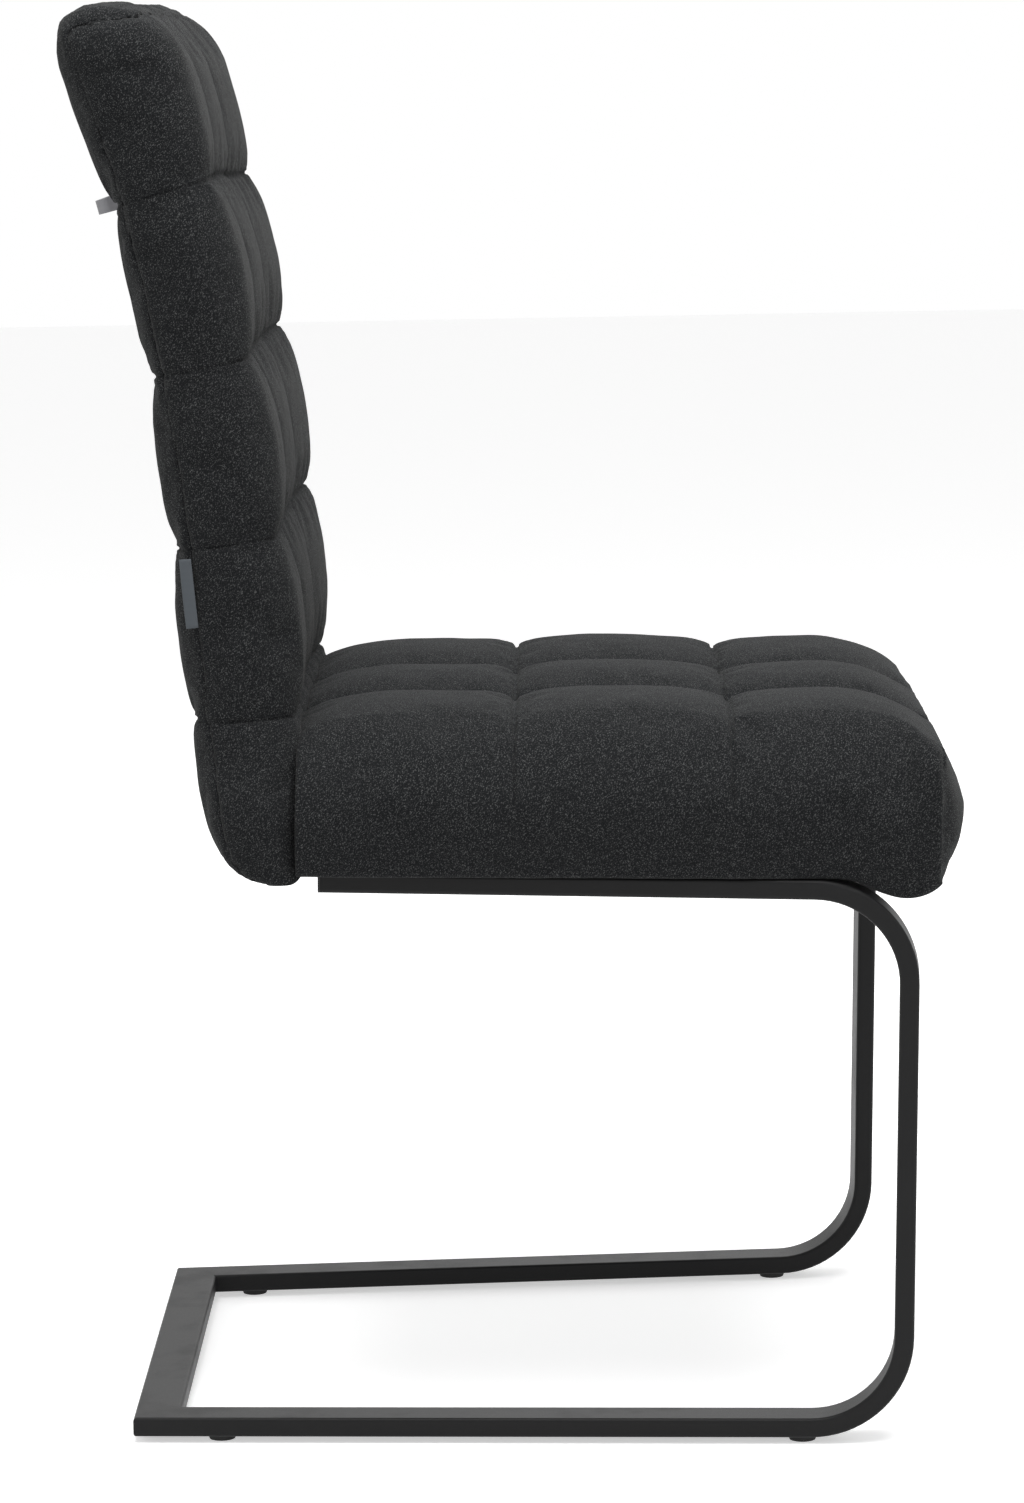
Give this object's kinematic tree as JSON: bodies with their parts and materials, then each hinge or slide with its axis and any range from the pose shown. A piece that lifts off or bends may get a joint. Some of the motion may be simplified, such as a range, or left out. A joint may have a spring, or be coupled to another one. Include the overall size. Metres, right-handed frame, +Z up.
{
  "type": "cantilever dining chair",
  "caption": "Upholstered cantilever chair: quilted seat and high back on a bent rectangular steel tube frame, with a bow handle behind the back",
  "frame": {"origin": "on the floor, under the middle of the chair's bounding box", "axes": "+Z up from the floor, +X towards the sitter's left, the sitter faces -Y"},
  "size_m": [0.518, 0.6083, 0.9909],
  "materials": {
    "frame_coat": "matte black powder coat",
    "black_plastic": "matte",
    "plywood": "raw plywood",
    "zinc_steel": "zinc plated",
    "foam": "open-cell foam",
    "quilted_fabric": "charcoal woven cloth, quilted over wadding",
    "lining": "black lining cloth",
    "tab_fabric": "woven tape",
    "handle_metal": "satin"
  },
  "bodies": {
    "root": {"back_board": "plywood", "back_bracket_left": "zinc_steel", "back_bracket_right": "zinc_steel", "back_cover_front": "quilted_fabric", "back_cover_rear": "quilted_fabric", "back_foam_front": "foam", "back_foam_rear": "foam", "bracket_bolts": "zinc_steel", "bracket_tnuts": "zinc_steel", "front_cross_strap": "frame_coat", "glide_front_left": "black_plastic", "glide_front_right": "black_plastic", "glide_rear_left": "black_plastic", "glide_rear_right": "black_plastic", "handle": "handle_metal", "handle_screws": "zinc_steel", "label_tab": "tab_fabric", "rear_cross_strap": "frame_coat", "rear_crossbar": "frame_coat", "seat_board": "plywood", "seat_bolts": "zinc_steel", "seat_cover": "quilted_fabric", "seat_dust_cover": "lining", "seat_foam": "foam", "seat_tnuts": "zinc_steel", "seat_washers": "zinc_steel", "side_tube_left": "frame_coat", "side_tube_right": "frame_coat", "tube_plug_left": "black_plastic", "tube_plug_right": "black_plastic"}
  },
  "joints": []
}
